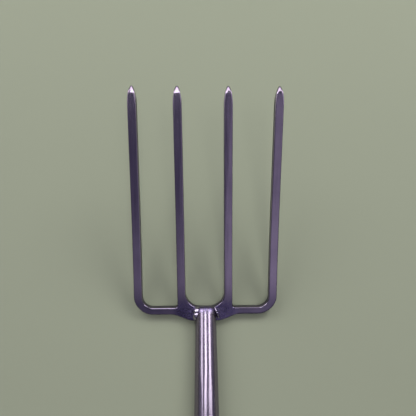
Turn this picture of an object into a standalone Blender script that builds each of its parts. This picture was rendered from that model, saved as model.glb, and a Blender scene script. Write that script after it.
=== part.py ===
"""Four-tine hay fork, lying face up on a floor.

The fork is made in its own frame: the handle axis runs along -Y, the crossbar centre is at
y = 0, X goes across the tines and +Z is the front of the fork, the concave side. An empty
then tips it by under one degree, so that it rests on the crossbar's heel and on the rim of
the socket, and puts the world origin under the middle of its box.
"""

import bpy
import bmesh
from math import atan2, cos, pi, radians, sin, sqrt
from mathutils import Vector

# Driving dimensions, in metres

BAR = 0.010                  # side of the square bar that the tines are drawn from
BAR_EDGE = 0.0020            # radius on the bar's four edges
TINE_LENGTH = 0.290          # crossbar centre to tine tip
HEAD_WIDTH = 0.190           # over the outer faces of the outer tines
INNER_BASE = {"left": -0.0320, "right": 0.0305}
INNER_TIP = {"left": -0.0350, "right": 0.0271}
TIP_LENGTH = 0.022           # stretch over which a tine comes to its point
TIP_BLUNT = 0.12             # share of the bar's width left at the very tip
TIP_STATIONS = (0.0, 0.0012, 0.0032, 0.0062, 0.0105, 0.0155, TIP_LENGTH)
TIP_FULLNESS = 1.4           # 1 is a parabola, more is rounder
CORNER_RADIUS = 0.020        # bend of the outer bar, at its centre line
CORNER_STEPS = 6
ROOT_RADIUS = 0.020          # sweep of an inner tine's root towards the neck
ROOT_FILLET = 0.003          # small fillet on the root's outer side
SHOULDER_START = 0.046       # the crossbar deepens from here ...
SHOULDER_END = 0.016         # ... to here, beside the neck
SHOULDER_DEPTH = 0.0082
SHOULDER_STATIONS = (SHOULDER_START, 0.041, 0.036, 0.031, 0.026, 0.021, SHOULDER_END)
BEHIND_NECK_STATIONS = (0.0135, 0.0120)
BEHIND_NECK = 0.0125         # the crossbar is plain bar again nearer the middle than this

HEAD_LIFT = radians(26.0)    # tines rise from the handle line at the crossbar
DISH_ANGLE = radians(5.5)    # and by this much more along the dished stretch
DISH_LENGTH = 0.150
STRAIGHT_STATIONS = (0.215, DISH_LENGTH, 0.120, 0.090, 0.060, 0.035)
ROOT_STATIONS = (0.0190, 0.0145, 0.0110, 0.0083, 0.0066)
CROSSBAR_DROP = 0.0080       # crossbar centre below the handle axis

NECK_RADIUS = 0.0135
NECK_START = -0.016          # the nose ends and the round neck starts
NOSE_END = 0.0025
NOSE_DIP = 0.0020            # the nose's centre line dips towards the crossbar
NOSE_POWER = 2.5             # 2 would be an ellipse, more is squarer
NOSE_STATIONS = (0.0024, 0.0018, 0.0006, -0.0012, -0.0036, -0.0068, -0.0110, NECK_START)
SOCKET_PROFILE = (           # y, radius: from the round neck to the mouth
    (-0.022, 0.01390),
    (-0.070, 0.01458),
    (-0.125, 0.01526),
    (-0.170, 0.01605),
    (-0.215, 0.01706),
    (-0.255, 0.01797),
    (-0.280, 0.01839),
    (-0.290, 0.01850),
)
BORE_BOTTOM = (-0.150, 0.0085)
TANG_SHARES = (0.02, 0.30, 0.60, 0.85, 1.0)    # of the bore's depth, from its bottom
SOCKET_WALL = 0.0018

SHAFT_PROFILE = (            # y, half width, half thickness, past the socket's mouth
    (-0.2906, 0.0172, 0.0172),
    (-0.300, 0.0176, 0.0176),
    (-0.420, 0.0170, 0.0170),
    (-0.540, 0.0170, 0.0168),
    (-0.600, 0.0178, 0.0160),
    (-0.640, 0.0195, 0.0150),
)
ARM_SPREAD_END = -0.735      # the two arms are parallel from here
ARM_END = -0.826
ARM_INSIDE = 0.0390          # half the clear width between the arms
ARM_WIDTH = 0.0150
ARM_HALF_THICKNESS = 0.0145
ARM_CAP = 0.014              # length of an arm's rounded end
ARM_CAP_SHARES = (0.45, 0.78, 0.96)
ARM_ROUNDNESS = 0.35         # of the arms' inner side, 0 would be flat
ARM_MIDDLE = -0.760
ARM_STEPS = 10

GRIP_Y = -0.795
GRIP_END_RADIUS = 0.0125
GRIP_MIDDLE_RADIUS = 0.0160
GRIP_FULLNESS = 1.4
GRIP_STEPS = 12
GRIP_RIVET_RADIUS = 0.0030
THROAT_Y = -0.622
THROAT_RIVET_RADIUS = 0.0022
SOCKET_RIVET_Y = {"upper": -0.222, "lower": -0.264}
SOCKET_RIVET_RADIUS = 0.0025
HEAD_RATIO = 1.9             # rivet head's radius over the shank's
DOME_RATIO = 0.75            # rivet head's height over the shank's radius
DOME_ANGLES = (0.0, 0.35, 0.75, 1.15, 1.40)
RIVET_SIDES = 16
WASHER_THICKNESS = 0.0014
WASHER_RATIO = 2.9           # washer radius over rivet radius
WELD_RADIUS = 0.0021
WELD_LENGTH = 0.0125
WELD_THIN = 0.30             # share of the radius left at a bead's ends
WELD_STAND_OFF = 1.12        # of its radius, so that a bead clears the neck
WELD_STEPS = 8
WELD_SIDES = 8

GAP = 0.0003                 # clearance between pieces that touch
ROUND_SIDES = 24
CORNER_POINTS = 3            # points on each rounded edge of the bar
ARM_SIDES = 16

STEEL = (0.270, 0.240, 0.320)
WELD_STEEL = (0.420, 0.390, 0.460)
RIVET_STEEL = (0.460, 0.440, 0.420)
ASH = (0.560, 0.360, 0.190)
GRIP_WOOD = (0.480, 0.280, 0.130)
ALONG_HANDLE = Vector((0.0, -1.0, 0.0))


# Scene helpers

def clear_scene():
    for item in list(bpy.data.objects):
        bpy.data.objects.remove(item, do_unlink=True)


def make_material(name, colour, metallic, roughness):
    material = bpy.data.materials.new(name)
    material.use_nodes = True
    shader = material.node_tree.nodes["Principled BSDF"]
    shader.inputs["Base Color"].default_value = (*colour, 1.0)
    shader.inputs["Metallic"].default_value = metallic
    shader.inputs["Roughness"].default_value = roughness
    return material


def make_object(name, bm, finish, parent):
    """Turn a closed bmesh into a smooth-shaded object with its own material."""
    bmesh.ops.recalc_face_normals(bm, faces=bm.faces)
    mesh = bpy.data.meshes.new(name)
    bm.to_mesh(mesh)
    bm.free()
    mesh.shade_smooth()
    mesh.set_sharp_from_angle(angle=radians(40))
    item = bpy.data.objects.new(name, mesh)
    bpy.context.scene.collection.objects.link(item)
    mesh.materials.append(make_material(name + "_finish", *finish))
    item.parent = parent
    return item


def make_cutter(name, bm, parent):
    cutter = make_object(name, bm, (STEEL, 0.0, 0.5), parent)
    cutter.hide_render = True
    cutter.display_type = "WIRE"
    return cutter


def cut(item, cutter):
    modifier = item.modifiers.new(cutter.name, "BOOLEAN")
    modifier.operation = "DIFFERENCE"
    modifier.solver = "EXACT"
    modifier.object = cutter


# Shape helpers

def loft(rings):
    """Skin a list of closed rings of equal length and cap both ends."""
    bm = bmesh.new()
    loops = [[bm.verts.new(point) for point in ring] for ring in rings]
    for first, second in zip(loops, loops[1:]):
        count = len(first)
        for i in range(count):
            j = (i + 1) % count
            bm.faces.new((first[i], first[j], second[j], second[i]))
    bm.faces.new(reversed(loops[0]))
    bm.faces.new(loops[-1])
    return bm


def ellipse_ring(y, centre_z, half_x, half_z, sides=ROUND_SIDES):
    angles = [2.0 * pi * i / sides for i in range(sides)]
    return [Vector((half_x * cos(a), y, centre_z + half_z * sin(a))) for a in angles]


def turned(profile, centre_y, sides=ROUND_SIDES):
    """Turn a list of (x, radius) about an X axis at height zero."""
    angles = [2.0 * pi * i / sides for i in range(sides)]
    rings = []
    for x, radius in profile:
        ring = [Vector((x, centre_y + radius * cos(a), radius * sin(a))) for a in angles]
        rings.append(ring)
    return loft(rings)


def rounded_section(low, high, half_depth, edge):
    """Rounded rectangle: p runs from -low to high, q from -half_depth to half_depth."""
    corners = (
        (high - edge, half_depth - edge, 0.0),
        (-low + edge, half_depth - edge, 0.5 * pi),
        (-low + edge, -half_depth + edge, pi),
        (high - edge, -half_depth + edge, 1.5 * pi),
    )
    points = []
    for centre_p, centre_q, start in corners:
        for i in range(CORNER_POINTS):
            angle = start + 0.5 * pi * i / (CORNER_POINTS - 1)
            points.append((centre_p + edge * cos(angle), centre_q + edge * sin(angle)))
    return points


def smooth_step(t):
    t = min(max(t, 0.0), 1.0)
    return t * t * (3.0 - 2.0 * t)


def head_point(x, v, w):
    """Flat head coordinates (across, up the tines, out of the front) to the dished head."""
    turn = DISH_ANGLE * min(max(v / DISH_LENGTH, 0.0), 1.0)
    radius = DISH_LENGTH / DISH_ANGLE
    rest = v if v < 0.0 else max(v - DISH_LENGTH, 0.0)
    along = radius * sin(turn) + rest * cos(turn) - w * sin(turn)
    out = radius * (1.0 - cos(turn)) + rest * sin(turn) + w * cos(turn)
    y = along * cos(HEAD_LIFT) - out * sin(HEAD_LIFT)
    z = along * sin(HEAD_LIFT) + out * cos(HEAD_LIFT) - CROSSBAR_DROP
    return Vector((x, y, z))


def tip_share(distance):
    """Share of the bar's width left at a distance from the tip: a rounded point."""
    left = max(1.0 - distance / TIP_LENGTH, 0.0)
    return TIP_BLUNT + (1.0 - TIP_BLUNT) * (1.0 - left * left) ** (1.0 / TIP_FULLNESS)


# Sub-parts of the head

def shoulder_depth(x):
    """How far the crossbar's underside reaches towards the handle at x."""
    if abs(x) < BEHIND_NECK:
        return 0.0
    return SHOULDER_DEPTH * smooth_step((SHOULDER_START - abs(x)) / (SHOULDER_START - SHOULDER_END))


def outer_bar_stations():
    """Right half of the outer bar: (x, v, outward x, outward v, size share), tip to middle."""
    centre_x = 0.5 * (HEAD_WIDTH - BAR)
    stations = []
    for distance in TIP_STATIONS:
        stations.append((centre_x, TINE_LENGTH - distance, 1.0, 0.0, tip_share(distance)))
    for v in STRAIGHT_STATIONS:
        stations.append((centre_x, v, 1.0, 0.0, 1.0))
    for i in range(CORNER_STEPS + 1):
        angle = 0.5 * pi * i / CORNER_STEPS
        x = centre_x - CORNER_RADIUS * (1.0 - cos(angle))
        v = CORNER_RADIUS * (1.0 - sin(angle))
        stations.append((x, v, cos(angle), -sin(angle), 1.0))
    for x in SHOULDER_STATIONS + BEHIND_NECK_STATIONS:
        stations.append((x, 0.0, 0.0, -1.0, 1.0))
    return stations


def outer_bar_ring(station, side, grow):
    x, v, out_x, out_v, share = station
    half = 0.5 * BAR * share + grow
    ring = []
    for p, q in rounded_section(half, half, half, BAR_EDGE * share):
        point = head_point(side * (x + p * out_x), v + p * out_v, q)
        lean = 0.5 * (1.0 + p / half) if out_v < -0.99 else 0.0
        ring.append(point + ALONG_HANDLE * lean * shoulder_depth(x))
    return ring


def outer_bar_mesh(grow=0.0):
    """One square bar bent into both outer tines and the crossbar between them."""
    stations = outer_bar_stations()
    right = [outer_bar_ring(station, 1.0, grow) for station in stations]
    left = [outer_bar_ring(station, -1.0, grow) for station in reversed(stations)]
    return loft(right + left)


def inner_tine_mesh(side_name):
    """A straight tine whose root spreads over the crossbar, most of all towards the neck."""
    base = INNER_BASE[side_name]
    tip = INNER_TIP[side_name]
    inward = -1.0 if base > 0.0 else 1.0
    half = 0.5 * BAR
    root_top = half + ROOT_RADIUS
    stations = [TINE_LENGTH - distance for distance in TIP_STATIONS]
    stations += [*STRAIGHT_STATIONS, root_top, *ROOT_STATIONS, half + GAP]
    rings = []
    for v in stations:
        share = tip_share(TINE_LENGTH - v)
        spread = root_spread(v, root_top, ROOT_RADIUS)
        fillet = root_spread(v, half + ROOT_FILLET, ROOT_FILLET)
        centre = base + (tip - base) * v / TINE_LENGTH
        size = half * share
        section = rounded_section(size + fillet, size + spread, size, BAR_EDGE * share)
        rings.append([head_point(centre + inward * p, v, q) for p, q in section])
    return loft(rings)


def root_spread(v, top, radius):
    """Sideways reach of a concave quarter circle that starts at height top."""
    drop = min(max(top - v, 0.0), radius)
    return radius - sqrt(radius * radius - drop * drop)


def nose_share(y):
    """Size of the neck's nose at y, from 1 where it starts to 0 at its end."""
    reach = min(max((y - NECK_START) / (NOSE_END - NECK_START), 0.0), 1.0)
    return (1.0 - reach ** NOSE_POWER) ** (1.0 / NOSE_POWER)


def socket_mesh():
    """Solid neck with a domed nose, opening into a conical socket with a blind bore."""
    rings = []
    for y in NOSE_STATIONS:
        share = nose_share(y)
        rings.append(ellipse_ring(y, NOSE_DIP * (share - 1.0), NECK_RADIUS * share, NECK_RADIUS * share))
    for y, radius in SOCKET_PROFILE:
        rings.append(ellipse_ring(y, 0.0, radius, radius))
    mouth_y, mouth_radius = SOCKET_PROFILE[-1]
    bore_mouth = mouth_radius - SOCKET_WALL
    rings.append(ellipse_ring(mouth_y, 0.0, bore_mouth, bore_mouth))
    bore_y, bore_radius = BORE_BOTTOM
    rings.append(ellipse_ring(bore_y, 0.0, bore_radius, bore_radius))
    return loft(rings)


def weld_mesh(side):
    """A bead in the corner between the nose and the shoulder, thin at both ends."""
    rings = []
    for i in range(WELD_STEPS + 1):
        t = i / WELD_STEPS
        y = -WELD_LENGTH * t
        radius = WELD_RADIUS * (WELD_THIN + (1.0 - WELD_THIN) * sin(pi * (0.08 + 0.84 * t)))
        z = shoulder_front(y) + radius + 2.0 * GAP
        share = nose_share(y)
        height = (z - NOSE_DIP * (share - 1.0)) / (NECK_RADIUS * share)
        neck_side = NECK_RADIUS * share * sqrt(max(1.0 - height * height, 0.0))
        x = neck_side + WELD_STAND_OFF * radius + 2.0 * GAP
        centre = Vector((side * x, y, z))
        angles = [2.0 * pi * k / WELD_SIDES for k in range(WELD_SIDES)]
        rings.append([centre + Vector((radius * cos(a), 0.0, radius * sin(a))) for a in angles])
    return loft(rings)


def shoulder_front(y):
    """Height at y of the shoulder's front face beside the neck, where it is deepest."""
    half = 0.5 * BAR
    upper = head_point(0.0, half, half)
    lower = head_point(0.0, -half, half) + ALONG_HANDLE * SHOULDER_DEPTH
    return upper.z + (y - upper.y) * (lower.z - upper.z) / (lower.y - upper.y)


# Sub-parts of the handle

def tang_rings():
    """The shaft's end inside the socket: the bore's cone, less the clearance."""
    bore_y, bore_radius = BORE_BOTTOM
    mouth_y, mouth_radius = SOCKET_PROFILE[-1]
    mouth = mouth_radius - SOCKET_WALL
    rings = []
    for share in TANG_SHARES:
        y = bore_y + (mouth_y - bore_y) * share
        radius = bore_radius + (mouth - bore_radius) * share - GAP
        rings.append(ellipse_ring(y, 0.0, radius, radius, ARM_SIDES))
    rings.append(ellipse_ring(mouth_y - GAP, 0.0, mouth - GAP, mouth - GAP, ARM_SIDES))
    return rings


def arm_ring(side, y, inside, outside, thickness, roundness):
    """Two half ellipses back to back; the inner one is flat at roundness 0."""
    middle = inside + 0.5 * roundness * (outside - inside)
    ring = []
    for i in range(ARM_SIDES):
        angle = -0.5 * pi + 2.0 * pi * i / ARM_SIDES
        across = cos(angle)
        reach = (outside - middle) if across > 0.0 else (middle - inside)
        ring.append(Vector((side * (middle + reach * across), y, thickness * sin(angle))))
    return ring


def arm_rings(side):
    throat_y, throat_half, throat_thick = SHAFT_PROFILE[-1]
    rings = []
    outside_end = ARM_INSIDE + ARM_WIDTH
    for i in range(ARM_STEPS + 1):
        t = i / ARM_STEPS
        y = throat_y + (ARM_SPREAD_END - throat_y) * t
        inside = ARM_INSIDE * smooth_step(t)
        outside = throat_half + (outside_end - throat_half) * smooth_step(t)
        thickness = throat_thick + (ARM_HALF_THICKNESS - throat_thick) * t
        roundness = ARM_ROUNDNESS * smooth_step(2.0 * t)
        rings.append(arm_ring(side, y, inside, outside, thickness, roundness))
    for y in (ARM_MIDDLE, GRIP_Y, ARM_END + ARM_CAP):
        rings.append(arm_ring(side, y, ARM_INSIDE, outside_end, ARM_HALF_THICKNESS, ARM_ROUNDNESS))
    for t in ARM_CAP_SHARES:
        shrink = sqrt(1.0 - t * t)
        middle = ARM_INSIDE + 0.5 * ARM_WIDTH
        half = 0.5 * ARM_WIDTH * (ARM_ROUNDNESS + (1.0 - ARM_ROUNDNESS) * shrink)
        y = ARM_END + ARM_CAP * (1.0 - t)
        thickness = ARM_HALF_THICKNESS * shrink
        roundness = ARM_ROUNDNESS + (1.0 - ARM_ROUNDNESS) * t
        rings.append(arm_ring(side, y, middle - half, middle + half, thickness, roundness))
    return rings


def skin(bm, rings):
    loops = [[bm.verts.new(point) for point in ring] for ring in rings]
    for first, second in zip(loops, loops[1:]):
        count = len(first)
        for i in range(count):
            j = (i + 1) % count
            bm.faces.new((first[i], first[j], second[j], second[i]))
    return loops


def shaft_mesh():
    """Tang, round shaft and the two bent arms of its split end, as one piece of wood."""
    bm = bmesh.new()
    rings = tang_rings()
    rings += [ellipse_ring(y, 0.0, half, thick, ARM_SIDES) for y, half, thick in SHAFT_PROFILE]
    loops = skin(bm, rings)
    bm.faces.new(loops[0])
    for side in (-1.0, 1.0):
        arm = skin(bm, arm_rings(side))
        bm.faces.new(arm[-1])
    bmesh.ops.remove_doubles(bm, verts=bm.verts, dist=0.00002)
    return bm


def grip_mesh():
    """Turned grip, fullest in the middle."""
    profile = []
    length = ARM_INSIDE - GAP
    for i in range(GRIP_STEPS + 1):
        t = -1.0 + 2.0 * i / GRIP_STEPS
        swell = cos(0.5 * pi * t) ** GRIP_FULLNESS if abs(t) < 1.0 else 0.0
        radius = GRIP_END_RADIUS + (GRIP_MIDDLE_RADIUS - GRIP_END_RADIUS) * swell
        profile.append((length * t, radius))
    return turned(profile, GRIP_Y)


def rivet_mesh(shank, half_length, centre_y):
    """A plain shank with a low dome at each end, under which half_length is the grip."""
    head = HEAD_RATIO * shank
    dome = DOME_RATIO * shank
    seat = half_length + GAP
    arc = [(seat + dome * sin(angle), head * cos(angle)) for angle in DOME_ANGLES]
    right = [(seat, shank)] + arc
    left = [(-x, radius) for x, radius in reversed(right)]
    return turned(left + right, centre_y, RIVET_SIDES)


def washer_mesh(side, inner_x, bore, outer, centre_y):
    """A flat ring about the X axis, made as a closed tube with a square section."""
    bm = bmesh.new()
    sides = ROUND_SIDES
    far_x = inner_x + WASHER_THICKNESS
    section = ((inner_x, bore), (inner_x, outer), (far_x, outer), (far_x, bore))
    loops = []
    for k in range(sides):
        angle = 2.0 * pi * k / sides
        loop = []
        for x, radius in section:
            place = (side * x, centre_y + radius * cos(angle), radius * sin(angle))
            loop.append(bm.verts.new(place))
        loops.append(loop)
    for k in range(sides):
        first = loops[k]
        second = loops[(k + 1) % sides]
        for i in range(4):
            j = (i + 1) % 4
            bm.faces.new((first[i], first[j], second[j], second[i]))
    return bm


def hole_cutter(name, radius, half_length, centre_y, parent):
    profile = ((-half_length, radius + GAP), (half_length, radius + GAP))
    return make_cutter(name, turned(profile, centre_y, RIVET_SIDES), parent)


# Assembly

def build_head(frame):
    steel = (STEEL, 1.0, 0.22)
    make_object("outer_tine_bar", outer_bar_mesh(), steel, frame)
    for side_name in ("left", "right"):
        make_object("inner_tine_" + side_name, inner_tine_mesh(side_name), steel, frame)
    socket = make_object("socket", socket_mesh(), steel, frame)
    cut(socket, make_cutter("crossbar_notch", outer_bar_mesh(GAP), frame))
    for side_name, side in (("left", -1.0), ("right", 1.0)):
        make_object("neck_weld_" + side_name, weld_mesh(side), (WELD_STEEL, 1.0, 0.30), frame)
    return socket


def half_width_at(profile, y):
    """Half width at y, from a table whose rows start with y and half width."""
    for near, far in zip(profile, profile[1:]):
        if far[0] <= y <= near[0]:
            return near[1] + (far[1] - near[1]) * (y - near[0]) / (far[0] - near[0])
    raise ValueError("y is outside the profile")


def build_handle(frame, socket):
    shaft = make_object("shaft", shaft_mesh(), (ASH, 0.0, 0.50), frame)
    grip = make_object("grip", grip_mesh(), (GRIP_WOOD, 0.0, 0.42), frame)
    rivet_finish = (RIVET_STEEL, 1.0, 0.35)

    for name, y in SOCKET_RIVET_Y.items():
        reach = half_width_at(SOCKET_PROFILE, y)
        make_object("socket_rivet_" + name, rivet_mesh(SOCKET_RIVET_RADIUS, reach, y), rivet_finish, frame)
        hole = hole_cutter("socket_hole_" + name, SOCKET_RIVET_RADIUS, 2.0 * reach, y, frame)
        cut(socket, hole)
        cut(shaft, hole)

    outside = ARM_INSIDE + ARM_WIDTH + GAP
    build_washed_rivet("grip", GRIP_RIVET_RADIUS, outside, GRIP_Y, (shaft, grip), frame)
    washer_edge = THROAT_Y - WASHER_RATIO * THROAT_RIVET_RADIUS
    throat_half = half_width_at(SHAFT_PROFILE, washer_edge) + GAP
    build_washed_rivet("throat", THROAT_RIVET_RADIUS, throat_half, THROAT_Y, (shaft,), frame)


def build_washed_rivet(name, radius, outside, y, drilled, frame):
    """A rivet along X with a washer under each head, and its hole in the drilled pieces."""
    finish = (RIVET_STEEL, 1.0, 0.35)
    head_seat = outside + WASHER_THICKNESS
    make_object(name + "_rivet", rivet_mesh(radius, head_seat, y), finish, frame)
    for side_name, side in (("left", -1.0), ("right", 1.0)):
        ring = washer_mesh(side, outside, radius + GAP, WASHER_RATIO * radius, y)
        make_object(name + "_washer_" + side_name, ring, finish, frame)
    hole = hole_cutter(name + "_hole", radius, 2.0 * outside, y, frame)
    for piece in drilled:
        cut(piece, hole)


def lowest_bar_point():
    """Lowest point of the crossbar's rounded heel, as (y, z) in the fork's own frame."""
    ring = outer_bar_ring((0.060, 0.0, 0.0, -1.0, 1.0), 1.0, 0.0)
    return min(((point.y, point.z) for point in ring), key=lambda place: place[1])


def rest_on_floor(frame):
    """Tip the fork onto its heel and the socket's rim, then centre it over the origin."""
    heel_y, heel_z = lowest_bar_point()
    mouth_y, mouth_radius = SOCKET_PROFILE[-1]
    frame.rotation_euler.x = -atan2(mouth_radius + heel_z, heel_y - mouth_y)
    bpy.context.view_layer.update()
    graph = bpy.context.evaluated_depsgraph_get()
    points = []
    for item in frame.children:
        if not item.hide_render:
            solid = item.evaluated_get(graph)
            points += [item.matrix_world @ vertex.co for vertex in solid.data.vertices]
    lowest = [min(point[axis] for point in points) for axis in range(3)]
    highest = [max(point[axis] for point in points) for axis in range(3)]
    middle_y = 0.5 * (lowest[1] + highest[1])
    frame.location = (0.0, -middle_y, -lowest[2])


def main():
    clear_scene()
    frame = bpy.data.objects.new("fork_frame", None)
    bpy.context.scene.collection.objects.link(frame)
    socket = build_head(frame)
    build_handle(frame, socket)
    rest_on_floor(frame)
    bpy.context.view_layer.update()


main()
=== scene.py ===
import bmesh
import bpy
import numpy as np
from mathutils import Matrix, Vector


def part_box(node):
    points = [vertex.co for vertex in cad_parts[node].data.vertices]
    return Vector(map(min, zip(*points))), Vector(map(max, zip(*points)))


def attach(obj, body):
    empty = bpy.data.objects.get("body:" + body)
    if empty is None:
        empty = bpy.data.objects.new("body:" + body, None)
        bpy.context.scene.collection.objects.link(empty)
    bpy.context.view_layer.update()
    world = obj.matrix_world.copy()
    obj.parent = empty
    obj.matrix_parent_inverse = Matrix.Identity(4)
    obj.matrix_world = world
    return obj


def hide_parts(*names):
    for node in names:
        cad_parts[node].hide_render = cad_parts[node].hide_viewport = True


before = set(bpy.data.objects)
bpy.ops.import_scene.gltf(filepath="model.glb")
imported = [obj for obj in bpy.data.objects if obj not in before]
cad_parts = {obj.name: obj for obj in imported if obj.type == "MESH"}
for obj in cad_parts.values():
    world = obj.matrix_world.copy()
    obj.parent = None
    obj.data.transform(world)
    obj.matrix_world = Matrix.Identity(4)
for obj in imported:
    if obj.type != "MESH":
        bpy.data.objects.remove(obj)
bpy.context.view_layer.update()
print("frame loaded:", len(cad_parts), "nodes")

# Where the fork lies. Its own axes: across the tines, along the handle towards the tines, out of the front.

forkPlace = {
    "rivetToCrossbar": 0.222,   # upper socket rivet to the crossbar's centre, along the handle
}


def boxCentre(node):
    low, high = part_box(node)
    return 0.5 * (np.array(low) + np.array(high))


gripCentre = boxCentre("grip")
upperRivet = boxCentre("socket_rivet_upper")
lowerRivet = boxCentre("socket_rivet_lower")
throatRivet = boxCentre("throat_rivet")
acrossAxis = np.array([1.0, 0.0, 0.0])
handleAxis = (upperRivet - gripCentre) / np.linalg.norm(upperRivet - gripCentre)
frontAxis = np.cross(acrossAxis, handleAxis)
forkOrigin = upperRivet + handleAxis * forkPlace["rivetToCrossbar"]


def toWorld(points):
    # fork coordinates times the three axes, plus the origin
    axes = np.array([acrossAxis, handleAxis, frontAxis])
    return points @ axes + forkOrigin


def alongHandle(point):
    # distance of a world point from the crossbar, negative towards the grip
    return float((point - forkOrigin) @ handleAxis)


# Shape tools

def smoothStep(t):
    # 3t^2 - 2t^3, level at both ends
    t = np.clip(t, 0.0, 1.0)
    return t * t * (3.0 - 2.0 * t)


def hump(distance, width):
    # bell curve, 1 in the middle
    return np.exp(-((distance / width) ** 2))


def fullTurn(columns):
    return np.linspace(0.0, 2.0 * np.pi, columns, endpoint=False)


def softWaves(along, around, seed, waves=7, reach=(8.0, 60.0)):
    # sum of sines of (whole turns round the section + a random pitch along it), about -1 to 1
    random = np.random.default_rng(seed)
    total = np.zeros(np.broadcast(along, around).shape)
    for _ in range(waves):
        turns = random.integers(0, 4)
        pitch = random.uniform(*reach) * random.choice([-1.0, 1.0])
        total = total + np.sin(turns * around + pitch * along + random.uniform(0.0, 2.0 * np.pi))
    return total / np.sqrt(waves)


def gridFaces(rows, columns, start=0):
    # quads between neighbouring rows; the columns wrap round
    row = np.arange(rows - 1)[:, None] * columns
    column = np.arange(columns)[None, :]
    here = start + row + column
    beside = start + row + (column + 1) % columns
    return np.stack([here, beside, beside + columns, here + columns], -1).reshape(-1, 4)


def fanFaces(ring, pole):
    # triangles from a ring of vertex numbers to one pole vertex
    return np.stack([ring, np.roll(ring, -1), np.full_like(ring, pole)], -1)


def closedTube(points, extras):
    # a (rows, columns, 3) grid with a pole at each end; extras are per-vertex values carried along
    rows, columns, _ = points.shape
    flat = points.reshape(-1, 3)
    poles = np.array([points[0].mean(0), points[-1].mean(0)])
    vertices = np.vstack([flat, poles])
    first = np.arange(columns)
    last = first + (rows - 1) * columns
    faces = gridFaces(rows, columns).tolist()
    faces += fanFaces(first, rows * columns).tolist()
    faces += fanFaces(last, rows * columns + 1).tolist()
    carried = {}
    for name, values in extras.items():
        width = values.shape[-1] if values.ndim == 3 else 1
        table = np.broadcast_to(values.reshape(rows, columns, width), (rows, columns, width))
        ends = np.array([table[0].mean(0), table[-1].mean(0)])
        carried[name] = np.vstack([table.reshape(-1, width), ends])
    return vertices, faces, carried


def makePiece(name, vertices, faces, carried, material, nodes, slot, sharpAngle=60.0):
    # world-space mesh with its own attributes, doubles merged, faces turned outwards
    mesh = bpy.data.meshes.new(name)
    mesh.from_pydata(toWorld(vertices).tolist(), [], faces)
    for key, values in carried.items():
        kind = "FLOAT_VECTOR" if values.shape[-1] == 3 else "FLOAT"
        layer = mesh.attributes.new(key, kind, "POINT")
        field = "vector" if kind == "FLOAT_VECTOR" else "value"
        layer.data.foreach_set(field, values.astype(np.float32).ravel())
    bm = bmesh.new()
    bm.from_mesh(mesh)
    bmesh.ops.remove_doubles(bm, verts=bm.verts, dist=0.000001)
    bmesh.ops.recalc_face_normals(bm, faces=bm.faces)
    bm.to_mesh(mesh)
    bm.free()
    mesh.shade_smooth()
    mesh.set_sharp_from_angle(angle=np.radians(sharpAngle))
    mesh.materials.append(material)
    piece = bpy.data.objects.new(name, mesh)
    bpy.context.scene.collection.objects.link(piece)
    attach(piece, "root")
    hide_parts(*nodes)
    return piece


def makeTube(name, points, extras, material, nodes, slot):
    makePiece(name, *closedTube(points, extras), material, nodes, slot)


# Materials

def newMaterial(name):
    material = bpy.data.materials.new(name)
    material.use_nodes = True
    return material, material.node_tree, material.node_tree.nodes["Principled BSDF"]


def stretched(tree, source, scale):
    mapping = tree.nodes.new("ShaderNodeMapping")
    mapping.inputs["Scale"].default_value = scale
    tree.links.new(source, mapping.inputs["Vector"])
    return mapping.outputs["Vector"]


def noiseAt(tree, vector, scale, detail=4.0, roughness=0.55):
    noise = tree.nodes.new("ShaderNodeTexNoise")
    noise.inputs["Scale"].default_value = scale
    noise.inputs["Detail"].default_value = detail
    noise.inputs["Roughness"].default_value = roughness
    tree.links.new(vector, noise.inputs["Vector"])
    return noise.outputs["Fac"]


def ranged(tree, value, fromLow, fromHigh, toLow, toHigh):
    remap = tree.nodes.new("ShaderNodeMapRange")
    remap.inputs["From Min"].default_value = fromLow
    remap.inputs["From Max"].default_value = fromHigh
    remap.inputs["To Min"].default_value = toLow
    remap.inputs["To Max"].default_value = toHigh
    tree.links.new(value, remap.inputs["Value"])
    return remap.outputs["Result"]


def blended(tree, share, first, second):
    mix = tree.nodes.new("ShaderNodeMix")
    mix.data_type = "RGBA"
    tree.links.new(share, mix.inputs["Factor"])
    for socket, colour in (("A", first), ("B", second)):
        target = [i for i in mix.inputs if i.name == socket and i.type == "RGBA"][0]
        if isinstance(colour, tuple):
            target.default_value = (*colour, 1.0)
        else:
            tree.links.new(colour, target)
    return [o for o in mix.outputs if o.type == "RGBA"][0]


def combined(tree, operation, first, second):
    math = tree.nodes.new("ShaderNodeMath")
    math.operation = operation
    for socket, value in zip(math.inputs, (first, second)):
        if isinstance(value, float):
            socket.default_value = value
        else:
            tree.links.new(value, socket)
    return math.outputs["Value"]


def thinned(tree, mask, noise, low, high, noiseLow=0.30, noiseHigh=0.70):
    # mask times a factor that follows the noise
    return combined(tree, "MULTIPLY", mask, ranged(tree, noise, noiseLow, noiseHigh, low, high))


def bumped(tree, height, distance, strength=1.0, below=None):
    bump = tree.nodes.new("ShaderNodeBump")
    bump.inputs["Distance"].default_value = distance
    bump.inputs["Strength"].default_value = strength
    tree.links.new(height, bump.inputs["Height"])
    if below is not None:
        tree.links.new(below, bump.inputs["Normal"])
    return bump.outputs["Normal"]


def attributeOf(tree, name, output):
    attribute = tree.nodes.new("ShaderNodeAttribute")
    attribute.attribute_name = name
    return attribute.outputs[output]


steelLook = {
    "dark": (0.262, 0.220, 0.292),      # violet-grey of the polished bar
    "light": (0.355, 0.302, 0.382),
    "edge": (0.400, 0.345, 0.430),      # rubbed bright along the edges
    "forge": (0.120, 0.100, 0.205),     # bluer, where the hammer left it dull
    "bluing": (0.108, 0.096, 0.146),    # painted shade: darker and bluer, a dark reflection painted along the crossbar and shade painted on the socket
    "scale": (0.040, 0.038, 0.038),     # painted shade: near-black on the flanks and backs of the bars
    "roughLow": 0.11,
    "roughHigh": 0.21,
}


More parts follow.
